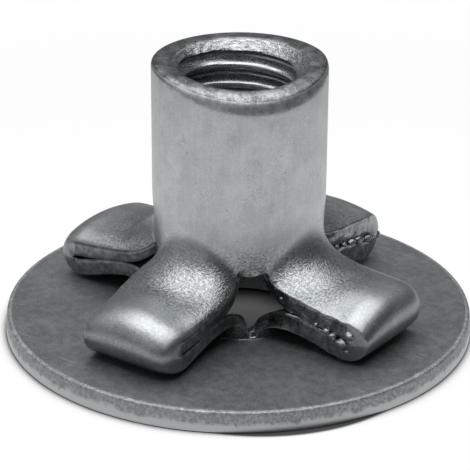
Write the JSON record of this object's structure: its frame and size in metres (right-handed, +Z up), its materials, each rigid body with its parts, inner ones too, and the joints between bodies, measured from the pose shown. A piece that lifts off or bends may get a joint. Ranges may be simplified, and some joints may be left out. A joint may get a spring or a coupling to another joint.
{
  "type": "rivet nut",
  "caption": "Set slotted rivet nut: wide flat flange, sleeve folded out into double-layer legs, and a round barrel tapped through to take a metric screw.",
  "frame": {"origin": "centre of the flange's underside, on the thread's axis", "axes": "+Z up along the thread's axis from flange to barrel; +X along one folded leg"},
  "size_m": [0.03, 0.03, 0.0179],
  "materials": {
    "steel": "satin bare steel, darker on the flange, with bright stretched skin on the folded legs"
  },
  "bodies": {
    "root": {"rivet_nut": "steel"}
  },
  "joints": []
}
